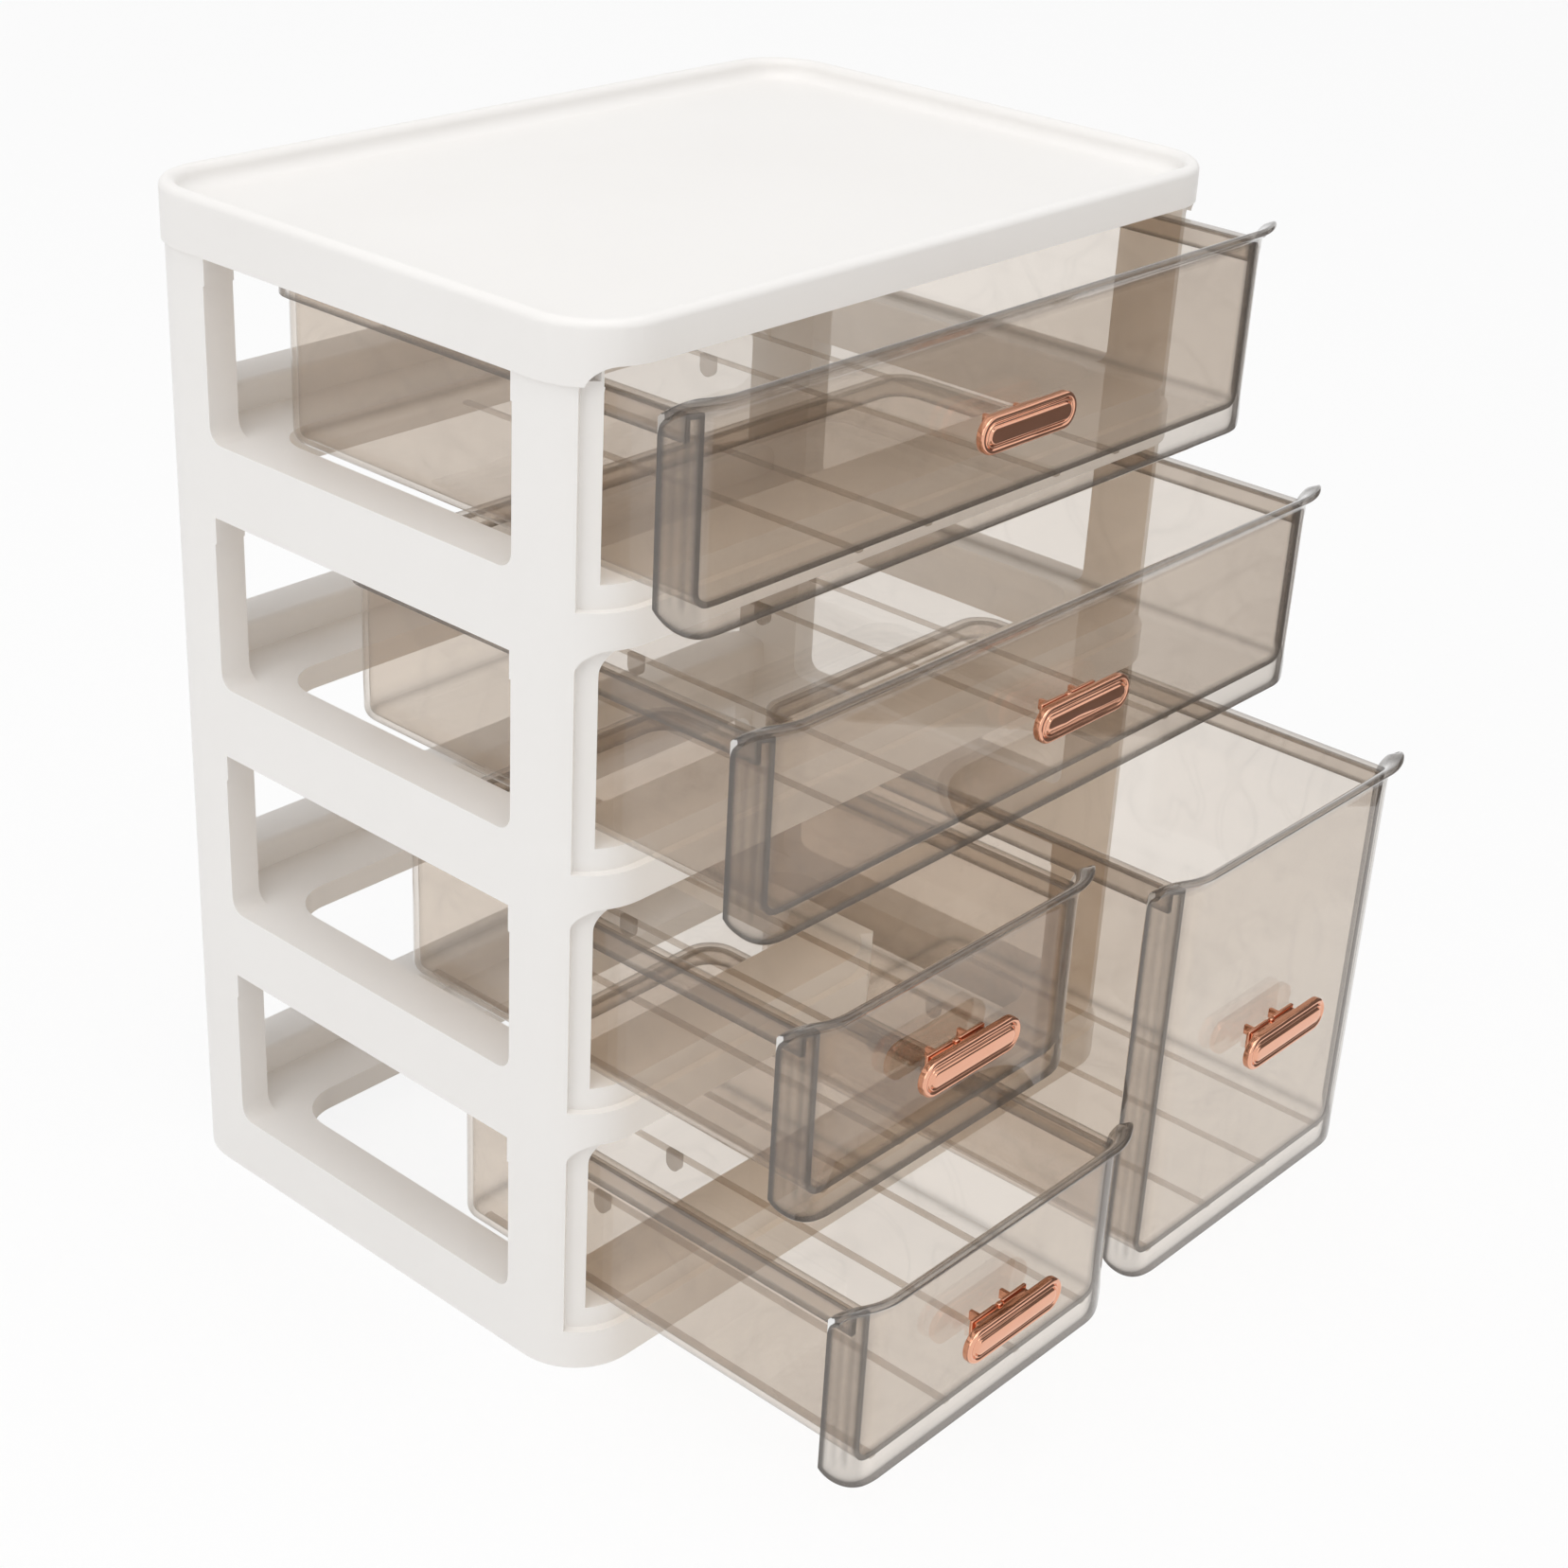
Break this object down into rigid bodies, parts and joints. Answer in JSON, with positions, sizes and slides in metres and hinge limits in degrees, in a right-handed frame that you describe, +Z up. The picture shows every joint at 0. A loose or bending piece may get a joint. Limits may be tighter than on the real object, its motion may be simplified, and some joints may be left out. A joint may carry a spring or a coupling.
{
  "type": "desktop drawer organizer",
  "caption": "Desktop mini drawers: white stacking frame with open side windows and a shallow top tray, clear smoke drawers with curved fronts and rose-gold pulls",
  "frame": {"origin": "centre of the stacking frame's footprint on the desk, at the level of its base face; the drawers stand open in front of it", "axes": "+Z up, the drawers pull out towards -Y, +X to the right of someone facing the drawers"},
  "size_m": [0.281, 0.3004, 0.3305],
  "materials": {
    "frame_plastic": "satin off-white moulded plastic",
    "drawer_plastic": "clear smoke-brown moulded plastic",
    "handle_plating": "rose-gold electroplate on plastic"
  },
  "bodies": {
    "frame": {"base_frame": "frame_plastic", "split_shelf_frame": "frame_plastic", "middle_shelf_frame": "frame_plastic", "upper_shelf_frame": "frame_plastic", "top_tray": "frame_plastic"},
    "top_drawer": {"top_drawer": "drawer_plastic", "top_drawer_handle": "handle_plating"},
    "middle_drawer": {"middle_drawer": "drawer_plastic", "middle_drawer_handle": "handle_plating"},
    "small_upper_drawer": {"small_upper_drawer": "drawer_plastic", "small_upper_handle": "handle_plating"},
    "small_lower_drawer": {"small_lower_drawer": "drawer_plastic", "small_lower_handle": "handle_plating"},
    "tall_drawer": {"tall_drawer": "drawer_plastic", "tall_drawer_handle": "handle_plating"}
  },
  "joints": [
    {"name": "top_drawer_slide", "type": "slide", "parent": "frame", "child": "top_drawer", "axis": [0, -1, 0], "range_m": [-0.027, 0.089]},
    {"name": "middle_drawer_slide", "type": "slide", "parent": "frame", "child": "middle_drawer", "axis": [0, -1, 0], "range_m": [-0.056, 0.06]},
    {"name": "small_upper_drawer_slide", "type": "slide", "parent": "frame", "child": "small_upper_drawer", "axis": [0, -1, 0], "range_m": [-0.077, 0.039]},
    {"name": "small_lower_drawer_slide", "type": "slide", "parent": "frame", "child": "small_lower_drawer", "axis": [0, -1, 0], "range_m": [-0.101, 0.015]},
    {"name": "tall_drawer_slide", "type": "slide", "parent": "frame", "child": "tall_drawer", "axis": [0, -1, 0], "range_m": [-0.1, 0.016]}
  ]
}
